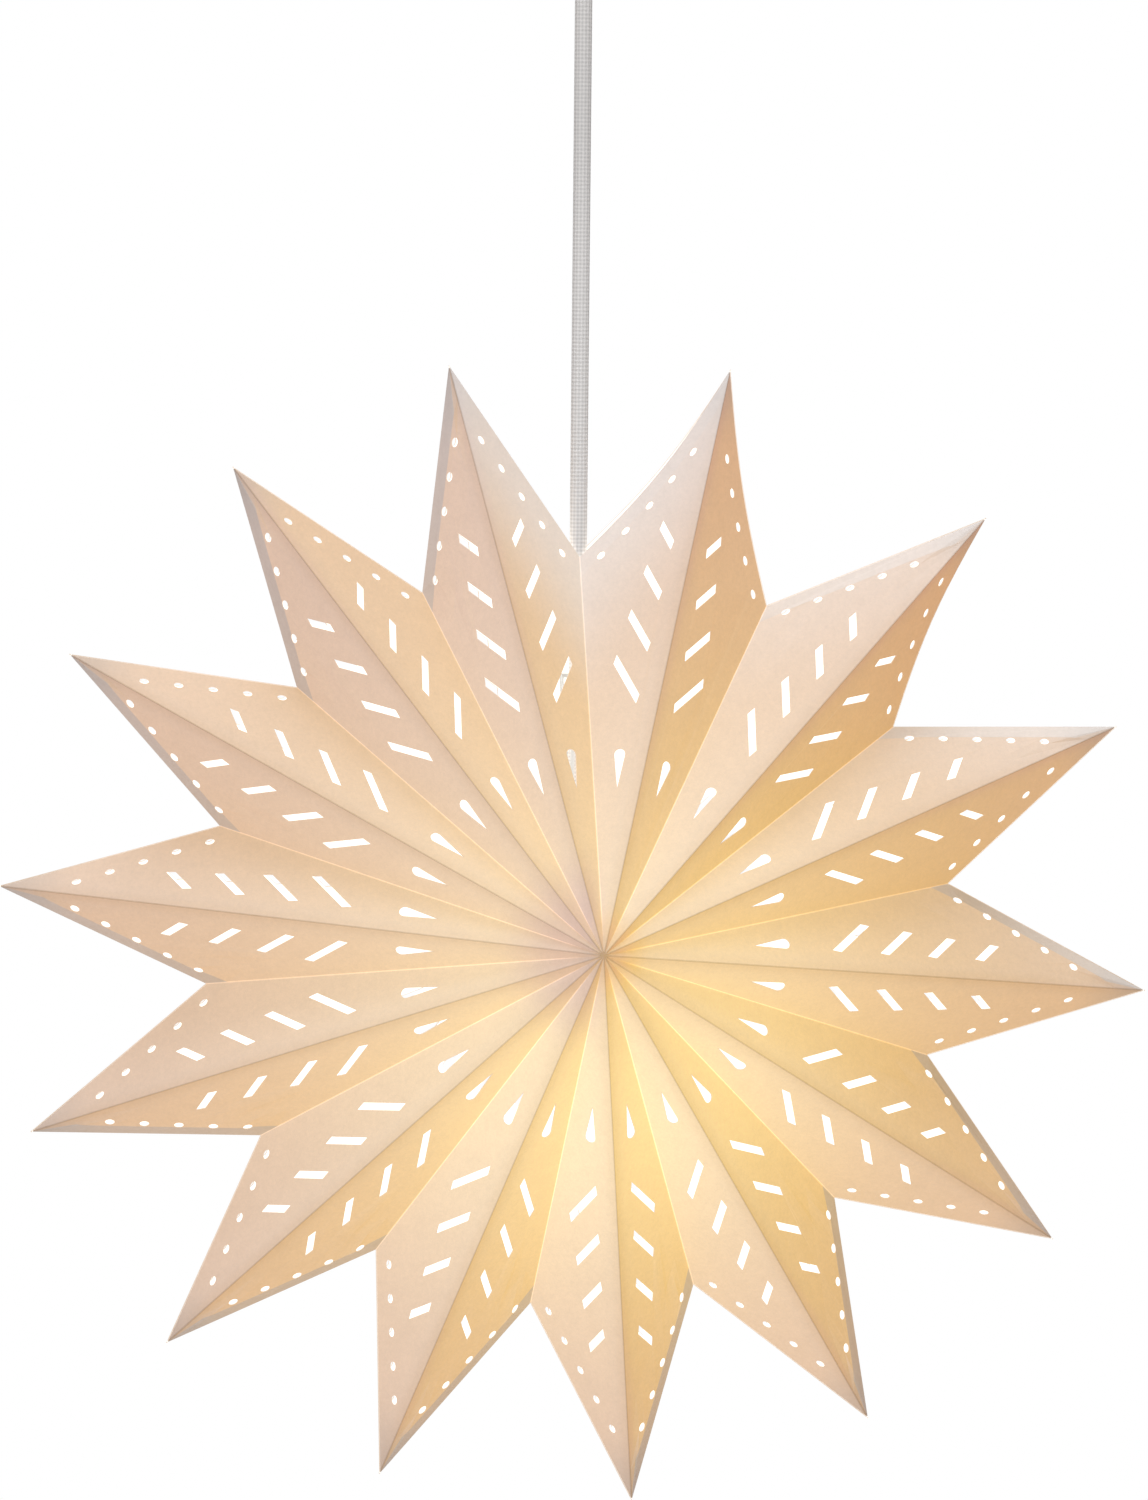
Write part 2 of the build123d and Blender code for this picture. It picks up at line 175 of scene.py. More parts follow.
def addBump(material, height, strength, depth):      # depth in millimetres
    tree = material.node_tree
    bump = tree.nodes.new("ShaderNodeBump")
    bump.inputs["Strength"].default_value = strength
    bump.inputs["Distance"].default_value = mm(depth)
    link(tree, height, bump.inputs["Height"])
    link(tree, bump.outputs["Normal"], shaderOf(material).inputs["Normal"])


def newGroup(name, inputs, outputs):
    group = bpy.data.node_groups.new(name, "ShaderNodeTree")
    for socketName, kind, default in inputs:
        socket = group.interface.new_socket(socketName, in_out="INPUT", socket_type=kind)
        socket.default_value = default
    for socketName, kind in outputs:
        group.interface.new_socket(socketName, in_out="OUTPUT", socket_type=kind)
    return group, group.nodes.new("NodeGroupInput"), group.nodes.new("NodeGroupOutput")


def placeGroup(material, group, values):
    node = material.node_tree.nodes.new("ShaderNodeGroup")
    node.node_tree = group
    for name, value in values.items():
        node.inputs[name].default_value = value
    return node


def objectFrom(name, mesh, materials):
    obj = bpy.data.objects.new(name, mesh)
    for material in materials:
        mesh.materials.append(material)
    bpy.context.scene.collection.objects.link(obj)
    return obj


wear = {"slowScale": 60, "slowDetail": 4, "slowShare": 0.6, "fineDetail": 2.0, "fineShare": 0.4,
        "tintGain": 4.0, "bumpDepth": 0.1}


def surfaceWearGroup():      # slow blotches and fine grain, in the colour and the roughness
    group, given, put = newGroup(
        "surfaceWear",
        [("Color", "NodeSocketColor", (0.8, 0.8, 0.8, 1)), ("Tint", "NodeSocketFloat", 0.06),
         ("Roughness", "NodeSocketFloat", 0.5), ("Spread", "NodeSocketFloat", 0.1),
         ("Grain Scale", "NodeSocketFloat", 900.0)],
        [("Color", "NodeSocketColor"), ("Roughness", "NodeSocketFloat"),
         ("Height", "NodeSocketFloat")])
    place = group.nodes.new("ShaderNodeTexCoord").outputs["Object"]
    slow = noise(group, place, wear["slowScale"], wear["slowDetail"])
    fine = noise(group, place, given.outputs["Grain Scale"], wear["fineDetail"])
    finePart = mathNode(group, "MULTIPLY", fine, wear["fineShare"])
    both = mathNode(group, "MULTIPLY_ADD", slow, wear["slowShare"], finePart)
    shade = mathNode(group, "SUBTRACT", both, 0.5)      # about nought on average
    tinted = mathNode(group, "MULTIPLY", shade, given.outputs["Tint"])
    factor = mathNode(group, "MULTIPLY_ADD", tinted, wear["tintGain"], 1.0)
    link(group, scaledBy(group, given.outputs["Color"], factor), put.inputs["Color"])
    rough = mathNode(group, "MULTIPLY_ADD", shade, given.outputs["Spread"],
                     given.outputs["Roughness"], clamp=True)
    link(group, rough, put.inputs["Roughness"])
    link(group, fine, put.inputs["Height"])
    return group


wearGroup = surfaceWearGroup()


def wornMaterial(name, color, roughness, metallic=0.0, tint=0.06, spread=0.2, grain=900.0,
                 bump=0.1):
    material = newMaterial(name, color, roughness, metallic)
    tree, shader = material.node_tree, shaderOf(material)
    effect = placeGroup(material, wearGroup, {
        "Color": (*color, 1), "Tint": tint, "Roughness": roughness, "Spread": spread,
        "Grain Scale": grain})
    link(tree, effect.outputs["Color"], shader.inputs["Base Color"])
    link(tree, effect.outputs["Roughness"], shader.inputs["Roughness"])
    addBump(material, effect.outputs["Height"], bump, wear["bumpDepth"])
    return material


star = {      # lengths in millimetres
    "tips": 14,
    "aside": 2.0,              # the star's middle stands this far right of the cord
    "drop": 440.0,             # and this far below the ceiling
    "notchRadius": 146.0,
    "halfDepth": 70.0,
    "paper": 0.4,
    "panelStart": 1.6,         # distance from the centre; a small cap closes the rest
    "flangeStart": 1.7,
    "flange": 8.0,
    "seamGap": 4.4,            # half the gap between the seam's front and back notch
    "seamStep": 0.6,           # the seam's flanges stop this far inside its notches
    "flap": 5.8,
    "flapMitre": 2.3,          # near the tip: the flap's width over its distance from the ridge
    "flapRise": 1.6,           # how far the flap's crease stands out
    "flapEase": 25.0,          # inside the crease the sheet comes back over this width
    "flapCuts": (0.0, 10.0, 25.0),      # where it bends on the way, measured from the crease
    "flapSoft": 0.8,           # the rise fades out at the ridge
    "flapGrow": 12,            # and is full from a twelfth of the outer edge on
    "softFlaps": {1: 0.15, 2: 0.55, 3: 0.75},      # points whose flap shows less than 1
    "bows": {(1, 0): 3.4, (1, 1): 2.2, (2, 1): 3.0},      # edges that curve in: point, side
    "bowSteps": 12,
    "tiny": 0.01,
    "pale": {(14, 1): 0.9, (1, 0): 0.7, (2, 0): 0.35, (3, 0): 0.3, (4, 0): 0.2},
    "mapUnit": 100,            # millimetres to the unit in the panels' maps
}      # pale: how strong the painted light wash is near the outer edge, for point and side; left is 0 and right is 1
pattern = {
    "slits": 4, "slitStart": 101.0, "slitPitch": 20.8, "slitRidgeGap": 8.6,
    "slitLength": 19.0, "slitStep": 2.85, "slitWidth": 2.85,
    "slitLean": 40.4, "slitEndLean": 8.6,      # degrees from the ridge
    "dropPoint": 65.8, "dropLength": 15.6, "dropRadius": 2.15, "dropSteps": 12,
    "dots": 5, "dotLong": 1.85, "dotWide": 1.25, "dotFirst": 5.4, "dotPitch": 13.3,
    "dotGap": 6.0, "dotGapStep": 0.4, "dotSides": 20,
}
glow = {
    "bulb": (0.012, 0.0, -0.485),             # metres; where the light sits inside the star
    "reach": 0.080,
    "steady": (0.405, 0.17, 0.027),           # the light that comes through everywhere
    "nearBulb": (0.55, 0.525, 0.235),         # and more of it where the bulb is close
    "sideways": (-0.013, -0.065, -0.155),     # change with a panel's lean to the right
    "upwards": (-0.018, 0.005, 0.016),        # and with its lean upwards
    "inside": (1.0, 0.95, 0.86),
    "insideStrength": 1.15,
    "holderShade": (-0.15, -0.14, -0.02),     # left of the middle the holder shades the paper
    "foldGlow": (0.02, -0.07, -0.14),         # right of it light comes through many folds
    # painted shade: beside a ridge the light through the paper is less green and blue
    "ridgeShadeTint": (0.0, -0.02, -0.035),
    "rim": (0.55, 0.38, 0.24),                # the cut edges of the sheet
    "flapShade": 0.54,
}
reaches = {      # where each mask starts and ends, in the maps' units
    "crease": (-0.001, 0.002), "mitre": (-0.001, 0.003), "pale": (0.0, 0.45),
    "ridgeLine": (0.002, 0.0055), "ridgeSide": (0.0, 0.05), "ridgeWide": (0.0, 0.10),
    "valleyLine": (0.001, 0.0045), "valleyStart": (0.05, 0.20),
    "holderShade": (0.15, 0.46), "foldGlow": (0.05, 0.22),
    "tips": (2.05, 2.35), "centre": (0.0, 0.14),
    "left": (-0.004, 0.006),      # this one in metres
}
passing = {      # how much more or less light comes through
    "ridgeWide": -0.07, "ridgeSide": -0.05, "ridgeLine": -0.17, "valleyLine": 0.34,
    "pale": -0.55, "tips": -0.30, "centre": -0.22}
paper = {
    "color": (0.27, 0.27, 0.275), "roughness": 0.85, "insideRoughness": 0.88,
    "fibre": (650, 5, 0.75), "grain": (2100, 2), "mottle": (160, 3, 0.6), "cloud": (30, 3),
    "insideFibre": (420, 4, 0.7),
    "lightSpread": {"fibre": 0.24, "grain": 0.16, "mottle": 0.10, "cloud": 0.08},
    "colorSpread": {"mottle": 0.08, "fibre": 0.20},
    # paler: the paper's colour made paler or darker; on the flaps partly the doubled paper's own
    # tone and partly painted light, pale a painted light wash, ridgeLine a painted shade line
    # along each ridge, valleyLine a painted highlight along each valley
    "paler": {"flap": 0.27, "pale": 1.0, "ridgeLine": -0.30, "valleyLine": 0.25},
    "bump": 0.3, "insideBump": 0.25, "bumpDepth": 0.1,
}
outsideLook, insideLook, rimLook = 0, 1, 2      # places of the three paper materials

pointNames = [f"paper_point_{index + 1:02d}" for index in range(star["tips"])]
lowest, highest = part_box(pointNames[2])
middle = Vector((mm(star["aside"]), (lowest.y + highest.y) / 2, mm(-star["drop"])))


def cornerFrom(node):      # the corner farthest from the star's middle
    return max((v.co for v in nodes[node].data.vertices),
               key=lambda p: (p.x - middle.x) ** 2 + (p.z - middle.z) ** 2)


tipPlaces = [cornerFrom(name).copy() for name in pointNames]
for tip in tipPlaces:
    tip.y = middle.y
frontCentre = middle + Vector((0, -mm(star["halfDepth"]), 0))
backCentre = middle + Vector((0, mm(star["halfDepth"]), 0))


def angleOf(place):
    return atan2(place.x - middle.x, place.z - middle.z)


def onStar(angle, radius, y=0.0):
    return middle + Vector((mm(radius) * sin(angle), mm(y), mm(radius) * cos(angle)))


def notchAfter(index):      # the front and back notch between this point and the next
    radius = star["notchRadius"]
    if index % star["tips"] == star["tips"] - 1:
        seam = -asin(mm(star["aside"]) / mm(radius))      # on the cord's own line
        return [onStar(seam, radius, side * star["seamGap"]) for side in (-1, 1)]
    here, there = angleOf(tipPlaces[index]), angleOf(tipPlaces[(index + 1) % star["tips"]])
    if there < here:
        there += 2 * pi
    corner = onStar((here + there) / 2, radius)
    return [corner, corner.copy()]


def uneven(tree, level, texture, spread):      # level times a texture that keeps it near 1
    factor = mathNode(tree, "MULTIPLY_ADD", texture, spread, 1 - spread / 2)
    return mathNode(tree, "MULTIPLY", level, factor)


def shaded(tree, level, mask, depth):      # level times (1 + mask * depth)
    return mathNode(tree, "MULTIPLY", level, mathNode(tree, "MULTIPLY_ADD", mask, depth, 1.0))


# The light that comes through the paper, and the paper's colour with painted light and shade in
# it.
# The light follows the folds, the flaps and the distance from the bulb, the colour the folds and
# the flaps.
def paperGlowGroup():
    group, given, put = newGroup(
        "paperGlow",
        [("Steady", "NodeSocketVector", glow["steady"]),
         ("Near Bulb", "NodeSocketVector", glow["nearBulb"]),
         ("Paper", "NodeSocketVector", paper["color"]), ("Flap Shade", "NodeSocketFloat", 0.5)],
        [("Emission", "NodeSocketColor"), ("Color", "NodeSocketColor"),
         ("Height", "NodeSocketFloat")])
    where = group.nodes.new("ShaderNodeTexCoord")
    place = where.outputs["Object"]
    leans = group.nodes.new("ShaderNodeSeparateXYZ")
    link(group, where.outputs["Normal"], leans.inputs[0])
    away = vectorNode(group, "DISTANCE", place, glow["bulb"], "Value")
    distance = mathNode(group, "DIVIDE", away, glow["reach"])
    close = mathNode(group, "DIVIDE", 1.0,
                     mathNode(group, "MULTIPLY_ADD", distance, distance, 1.0))

    ridge, valley = unpackedMap(group, "folds")      # distances from the panel's two folds
    edge, out = unpackedMap(group, "rim")            # from its outer edge, and along its ridge
    flapped, paintedWash = unpackedMap(group, "sheet")   # how much flap and how much painted light wash
    width = star["flap"] / star["mapUnit"]
    crease = [width + reach for reach in reaches["crease"]]
    flap = mathNode(group, "MULTIPLY", flapped, fade(group, edge, *crease))
    mitre = mathNode(group, "MULTIPLY_ADD", ridge, -star["flapMitre"], edge)
    flap = mathNode(group, "MULTIPLY", flap, fade(group, mitre, *reaches["mitre"]))
    masks = {"flap": flap, "tips": ramp(group, out, *reaches["tips"]),
             "centre": fade(group, out, *reaches["centre"]),
             "pale": mathNode(group, "MULTIPLY", paintedWash, fade(group, edge, *reaches["pale"]))}
    for name in ("ridgeLine", "ridgeSide", "ridgeWide"):
        masks[name] = fade(group, ridge, *reaches[name])
    masks["valleyLine"] = mathNode(group, "MULTIPLY", fade(group, valley, *reaches["valleyLine"]),
                                   ramp(group, out, *reaches["valleyStart"]))
    spot = group.nodes.new("ShaderNodeSeparateXYZ")
    link(group, place, spot.inputs[0])
    left = fade(group, spot.outputs["X"], *reaches["left"])
    right = mathNode(group, "SUBTRACT", 1.0, left)
    shadedLeft, foldedRight = (
        mathNode(group, "MULTIPLY", half, fade(group, out, *reaches[name]))
        for half, name in ((left, "holderShade"), (right, "foldGlow")))

    light = given.outputs["Steady"]
    for tint, amount in ((given.outputs["Near Bulb"], close),
                         (glow["sideways"], leans.outputs["X"]),
                         (glow["upwards"], leans.outputs["Z"]),
                         (glow["holderShade"], shadedLeft), (glow["foldGlow"], foldedRight),
                         (glow["ridgeShadeTint"], masks["ridgeSide"])):
        light = vectorNode(group, "ADD", light, scaledBy(group, tint, amount))
    light = vectorNode(group, "MAXIMUM", light, (0.0, 0.0, 0.0))
    textures = {name: noise(group, place, *paper[name]) for name in paper["lightSpread"]}
    level = 1.0
    for name, spread in paper["lightSpread"].items():
        level = uneven(group, level, textures[name], spread)
    for name, depth in passing.items():
        level = shaded(group, level, masks[name], depth)
    through = mathNode(group, "SUBTRACT", given.outputs["Flap Shade"], 1.0)
    level = shaded(group, level, masks["flap"], through)
    link(group, scaledBy(group, light, level), put.inputs["Emission"])

    body = 1.0
    for name, spread in paper["colorSpread"].items():
        body = uneven(group, body, textures[name], spread)
    # painted light and shade in the paper's colour: shade on the ridges, highlight in the valleys,
    # the light wash, the flaps
    for name, depth in paper["paler"].items():
        body = shaded(group, body, masks[name], depth)
    link(group, scaledBy(group, given.outputs["Paper"], body), put.inputs["Color"])
    link(group, textures["fibre"], put.inputs["Height"])
    return group


glowGroup = paperGlowGroup()


def litPaper(name):      # the outside: matt paper, lit through from within
    material = newMaterial(name, paper["color"], paper["roughness"])
    tree, shader = material.node_tree, shaderOf(material)
    effect = placeGroup(material, glowGroup, {"Flap Shade": glow["flapShade"]})
    shader.inputs["Emission Strength"].default_value = 1.0
    link(tree, effect.outputs["Emission"], shader.inputs["Emission Color"])
    link(tree, effect.outputs["Color"], shader.inputs["Base Color"])
    addBump(material, effect.outputs["Height"], paper["bump"], paper["bumpDepth"])
    return material


def plainPaper(name, light, strength, spread):      # the inside and the cut edges, both given a painted glow
    material = newMaterial(name, paper["color"], paper["insideRoughness"])
    tree, shader = material.node_tree, shaderOf(material)
    place = tree.nodes.new("ShaderNodeTexCoord").outputs["Object"]
    fibre = noise(tree, place, *paper["insideFibre"])
    level = uneven(tree, 1.0, fibre, spread)
    shader.inputs["Emission Strength"].default_value = strength
    link(tree, scaledBy(tree, light, level), shader.inputs["Emission Color"])
    link(tree, scaledBy(tree, paper["color"], level), shader.inputs["Base Color"])
    addBump(material, fibre, paper["insideBump"], paper["bumpDepth"])
    return material


paperLooks = [litPaper("paperOutside"),
              plainPaper("paperInside", glow["inside"], glow["insideStrength"], 0.10),
              plainPaper("paperRim", glow["rim"], 1.0, 0.30)]


def slitShape(number):
    p = pattern
    start = Vector((p["slitStart"] + number * p["slitPitch"], p["slitRidgeGap"]))
    length = p["slitLength"] - number * p["slitStep"]
    run = Vector((cos(radians(p["slitLean"])), sin(radians(p["slitLean"])))) * length
    end = Vector((-cos(radians(p["slitEndLean"])), sin(radians(p["slitEndLean"]))))
    end *= p["slitWidth"] / sin(radians(p["slitLean"] + p["slitEndLean"]))
    first = start - end / 2
    return [first, first + run, first + run + end, first + end]


def dropShape(direction):
    p = pattern
    reach = p["dropLength"] - p["dropRadius"]
    touch = asin(p["dropRadius"] / reach)
    spots = [Vector((0, 0))]
    for step in range(p["dropSteps"] + 1):
        turn = -(pi / 2 + touch) + (pi + 2 * touch) * step / p["dropSteps"]
        spots.append(Vector((reach + p["dropRadius"] * cos(turn), p["dropRadius"] * sin(turn))))
    ahead = Vector((cos(direction), sin(direction)))
    aside = Vector((-ahead.y, ahead.x))
    return [ahead * (p["dropPoint"] + s.x) + aside * s.y for s in spots]


def outerEdge(tip, notch):      # directions along a flat panel's outer edge and into the panel
    ahead = (tip - notch).normalized()
    return ahead, Vector((ahead.y, -ahead.x))


def dotShapes(tip, notch):
    p = pattern
    edge, inwards = outerEdge(tip, notch)
    turns = [2 * pi * step / p["dotSides"] for step in range(p["dotSides"])]
    shapes = []
    for number in range(p["dots"]):
        spot = notch + edge * (p["dotFirst"] + number * p["dotPitch"])
        spot += inwards * (p["dotGap"] + number * p["dotGapStep"])
        shapes.append([spot + edge * cos(t) * p["dotLong"] + inwards * sin(t) * p["dotWide"]
                       for t in turns])
    return shapes


def flatSheet(outline, holes, thickness):
    curve = bpy.data.curves.new("sheet", "CURVE")
    curve.dimensions = "2D"
    curve.fill_mode = "BOTH"
    curve.extrude = thickness / 2
    for shape in [outline] + holes:
        spline = curve.splines.new("POLY")
        spline.points.add(len(shape) - 1)
        for point, spot in zip(spline.points, shape):
            point.co = (spot.x, spot.y, 0, 1)
        spline.use_cyclic_u = True
    holder = bpy.data.objects.new("sheet", curve)
    bpy.context.scene.collection.objects.link(holder)
    bpy.context.view_layer.update()
    finished = holder.evaluated_get(bpy.context.evaluated_depsgraph_get())
    mesh = bpy.data.meshes.new_from_object(finished)
    bpy.data.objects.remove(holder)
    bpy.data.curves.remove(curve)
    return mesh


def lineDistance(spot, start, end):
    ahead = (end - start).normalized()
    return abs((spot.x - start.x) * ahead.y - (spot.y - start.y) * ahead.x)


def cutAlong(piece, spot, across):
    bmesh.ops.bisect_plane(piece, geom=piece.verts[:] + piece.edges[:] + piece.faces[:],
                           plane_co=(spot.x, spot.y, 0), plane_no=(across.x, across.y, 0))


def joinMesh(joined, mesh):
    joined.from_mesh(mesh)
    bpy.data.meshes.remove(mesh)


def panelSheet(tip, notch, flap, bow):      # a flat panel with its holes, cut where it will bend
    start = star["panelStart"]
    outline = [Vector((start, 0)), tip, notch, notch.normalized() * start]
    holes = [slitShape(number) for number in range(pattern["slits"])]
    holes.append(dropShape(atan2(notch.y, notch.x) / 2))
    holes += dotShapes(tip, notch)
    piece = bmesh.new()
    joinMesh(piece, flatSheet(outline, holes, star["paper"]))
    edgeAhead, edgeIn = outerEdge(tip, notch)
    if flap:
        for inset in star["flapCuts"]:
            cutAlong(piece, notch + edgeIn * (star["flap"] + inset), edgeIn)
    if bow:
        for step in range(1, star["bowSteps"]):
            cutAlong(piece, notch + (tip - notch) * step / star["bowSteps"], edgeAhead)
    return piece


def mapPanel(piece, tip, notch, facing, flap, paintedWash):      # the maps that the paper's look reads
    folds = piece.loops.layers.uv.new("folds")
    rim = piece.loops.layers.uv.new("rim")
    sheet = piece.loops.layers.uv.new("sheet")
    unit = star["mapUnit"]
    for face in piece.faces:
        face.normal_update()
        side = face.normal.z * facing
        look = outsideLook if side > 0.5 else insideLook if side < -0.5 else rimLook
        face.material_index = look
        for loop in face.loops:
            spot = loop.vert.co
            fromValley = lineDistance(spot, Vector((0, 0)), notch)
            loop[folds].uv = (spot.y / unit, fromValley / unit)
            loop[rim].uv = (lineDistance(spot, notch, tip) / unit, spot.x / unit)
            loop[sheet].uv = (flap, paintedWash)


def bendPanel(piece, tip, notch, facing, pullAlong, flap, bow):
    edgeAhead = outerEdge(tip, notch)[0]
    for vert in piece.verts:
        inset = lineDistance(vert.co, notch, tip)
        along = (Vector(vert.co.xy) - notch).dot(edgeAhead) / (tip - notch).length
        if bow and 0 < along < 1:       # the edge curves in, the ridge fold stays straight
            pull = bow * sin(pi * along) * vert.co.y / (vert.co.y + inset + star["tiny"])
            vert.co += pullAlong * pull
        if flap:       # the glued flap stands as a narrow slanting facet along the outer edge
            past = max(0, inset - star["flap"])
            rise = 1 - past / star["flapEase"] if past else inset / star["flap"]
            fromRidge = abs(vert.co.y)
            rise = max(0, rise) * fromRidge / (fromRidge + past + star["flapSoft"])
            rise *= min(1, max(0, along) * star["flapGrow"])
            vert.co.z += facing * star["flapRise"] * flap * rise


def addPanel(joined, centre, tip, notch, outwards, flap, paintedWash, bow):
    ahead = (tip - centre).normalized()
    normal = ahead.cross(notch - centre).normalized()
    aside = normal.cross(ahead)
    facing = 1 if normal.dot(outwards) > 0 else -1
    flatTip = Vector((inMillimetres((tip - centre).length), 0))
    flatNotch = Vector((inMillimetres((notch - centre).dot(ahead)),
                        inMillimetres((notch - centre).dot(aside))))
    edgeIn = outerEdge(flatTip, flatNotch)[1]
    inwards = ahead * edgeIn.x + aside * edgeIn.y
    inwards.y = 0        # front and back panel move alike, so that their shared edge stays closed
    inwards.normalize()
    pullAlong = Vector((inwards.dot(ahead), inwards.dot(aside), inwards.dot(normal)))
    piece = panelSheet(flatTip, flatNotch, flap, bow)
    mapPanel(piece, flatTip, flatNotch, facing, flap, paintedWash)
    bendPanel(piece, flatTip, flatNotch, facing, pullAlong, flap, bow)
    place = Matrix((ahead, aside, normal)).transposed().to_4x4()
    place.translation = centre - normal * facing * mm(star["paper"]) / 2
    piece.transform(place @ Matrix.Scale(mm(1), 4))
    mesh = bpy.data.meshes.new("panel")
    piece.to_mesh(mesh)
    piece.free()
    joinMesh(joined, mesh)


def addCentreCap(joined, centre, tip, notches, outwards):      # this point's share of the cap
    depth = boundsAtLoad[0][1] if outwards.y < 0 else boundsAtLoad[1][1]
    spots = [Vector((centre.x, depth, centre.z))]
    for end in (notches[0], tip, notches[1]):
        spots.append(centre + (end - centre).normalized() * mm(star["panelStart"]))
    outer = [joined.verts.new(spot) for spot in spots]
    inner = [joined.verts.new(spot - outwards * mm(star["paper"])) for spot in spots]
    joined.faces.new(outer).material_index = outsideLook
    joined.faces.new(list(reversed(inner))).material_index = insideLook
    for here, there in ((0, 1), (1, 2), (2, 3), (3, 0)):
        rim = joined.faces.new((outer[there], outer[here], inner[here], inner[there]))
        rim.material_index = rimLook


def addFlange(joined, notches, inwards):      # the glued strip inside a valley fold
    front, back = notches
    reach = Vector((front.x - middle.x, 0, front.z - middle.z))
    ahead = reach.normalized()
    radius, rise = inMillimetres(reach.length), star["halfDepth"]
    gap = inMillimetres(middle.y - front.y)
    seam = gap > 1      # here the front and back notch stand apart
    slope = atan2(rise - gap, radius)
    inner = rise - star["flange"] / cos(slope)      # height of the inner line above the axis
    start = star["flangeStart"]
    drop = start * tan(slope)
    clear = gap - star["seamStep"] if seam else 0.0
    meets = (inner - clear) / tan(slope)
    outline = [Vector((start, -rise + drop)), Vector((radius, -gap))]
    if seam:
        outline += [Vector((radius, -clear)), Vector((meets, -clear)),
                    Vector((start, -inner + drop))]
        halves = [outline, [Vector((v.x, -v.y)) for v in reversed(outline)]]
    else:
        outline += [Vector((start, rise - drop)), Vector((start, inner - drop)),
                    Vector((meets, 0)), Vector((start, -inner + drop))]
        halves = [outline]
    normal = ahead.cross(Vector((0, 1, 0)))
    facing = 1 if normal.dot(inwards) > 0 else -1
    for half in halves:
        mesh = flatSheet(half, [], star["paper"])
        place = Matrix((ahead, Vector((0, 1, 0)), normal)).transposed().to_4x4()
        place.translation = middle + normal * facing * mm(star["paper"]) / 2
        mesh.transform(place @ Matrix.Scale(mm(1), 4))
        for polygon in mesh.polygons:
            polygon.material_index = insideLook
        joinMesh(joined, mesh)


def paperPoint(index):
    tip, number = tipPlaces[index], index + 1
    before, after = notchAfter(index - 1), notchAfter(index)
    forwards, backwards = Vector((0, -1, 0)), Vector((0, 1, 0))
    joined = bmesh.new()
    for side, notches in ((0, before), (1, after)):      # left and right half
        bow = star["bows"].get((number, side), 0.0)
        # the pale share is a painted light wash: paler paper and less light through near the outer
        # edge
        paintedWash = star["pale"].get((number, side), 0.0)
        flap = star["softFlaps"].get(number, 1.0) if side == 0 else 0.0
        addPanel(joined, frontCentre, tip, notches[0], forwards, flap, paintedWash, bow)
        addPanel(joined, backCentre, tip, notches[1], backwards, 0.0, paintedWash, bow)
        addFlange(joined, notches, tip - middle)
    addCentreCap(joined, frontCentre, tip, (before[0], after[0]), forwards)
    addCentreCap(joined, backCentre, tip, (after[1], before[1]), backwards)
    mesh = bpy.data.meshes.new(pointNames[index] + "_paper")
    joined.to_mesh(mesh)
    joined.free()
    obj = objectFrom(pointNames[index] + "_paper", mesh, paperLooks)
    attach(obj, "star")
    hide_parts(pointNames[index])


for index in range(star["tips"]):
    paperPoint(index)
print("paper points done")


# gap: the painted shade in the braid's gaps, as a share of the cord's colour
cord = {"radius": 3.3, "top": -37.0, "pivot": -72.2, "bottom": -422.9, "ringStep": 1.0,
        "sides": 40, "color": (0.81, 0.76, 0.735), "roughness": 0.85, "gap": 0.68,
        "threads": 14, "threadPitch": 1.5, "bump": 0.8, "bumpDepth": 0.3}


def braidMaterial():
    material = newMaterial("textileCord", cord["color"], cord["roughness"])
    tree, shader = material.node_tree, shaderOf(material)
    around, along = unpackedMap(tree, "braid")
    turnPart = mathNode(tree, "MULTIPLY", around, cord["threads"] * pi)
    runPart = mathNode(tree, "MULTIPLY", along, pi / cord["threadPitch"])
    oneWay = mathNode(tree, "SINE", mathNode(tree, "ADD", turnPart, runPart))
    otherWay = mathNode(tree, "SINE", mathNode(tree, "SUBTRACT", turnPart, runPart))
    crossed = mathNode(tree, "MULTIPLY", oneWay, otherWay)
    height = mathNode(tree, "MULTIPLY_ADD", crossed, 0.5, 0.5)     # bundles over and under
    addBump(material, height, cord["bump"], cord["bumpDepth"])
    # painted shade: the braid's gaps darker than its bundles
    gapShadeColor = tuple(c * cord["gap"] for c in cord["color"])
    link(tree, mixColor(tree, height, gapShadeColor, cord["color"]), shader.inputs["Base Color"])
    return material


def ringAt(shape, radius, z, sides):      # corners round the upright axis
    return [shape.verts.new((mm(radius * cos(2 * pi * s / sides)),
                             mm(radius * sin(2 * pi * s / sides)), mm(z))) for s in range(sides)]


def finishRound(shape, rings, name, material):      # closes both ends of a round shape
    shape.faces.new(list(reversed(rings[0])))
    shape.faces.new(rings[-1])
    mesh = bpy.data.meshes.new(name)
    shape.to_mesh(mesh)
    shape.free()
    return objectFrom(name, mesh, [material])


def tube(name, top, bottom, radius, material):
    shape = bmesh.new()
    braid = shape.loops.layers.uv.new("braid")
    count = max(2, round((top - bottom) / cord["ringStep"]))
    sides = cord["sides"]
    heights = [bottom + (top - bottom) * ring / count for ring in range(count + 1)]
    rings = [ringAt(shape, radius, z, sides) for z in heights]
    for ring in range(count):
        low, high = rings[ring], rings[ring + 1]
        for s in range(sides):
            t = (s + 1) % sides
            face = shape.faces.new((low[s], low[t], high[t], high[s]))
            face.smooth = True
            corners = ((s, ring), (s + 1, ring), (s + 1, ring + 1), (s, ring + 1))
            for loop, (turn, row) in zip(face.loops, corners):
                loop[braid].uv = (turn / sides, heights[row])
    return finishRound(shape, rings, name, material)


braidLook = braidMaterial()
upperCord = tube("cord_upper", cord["top"], cord["pivot"], cord["radius"], braidLook)
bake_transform(upperCord)
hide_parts("cord_top", "cord_bend")
lowerCord = tube("cord_lower", cord["pivot"], cord["bottom"], cord["radius"], braidLook)
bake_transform(lowerCord)
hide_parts("pendant_cord")
print("cord done")


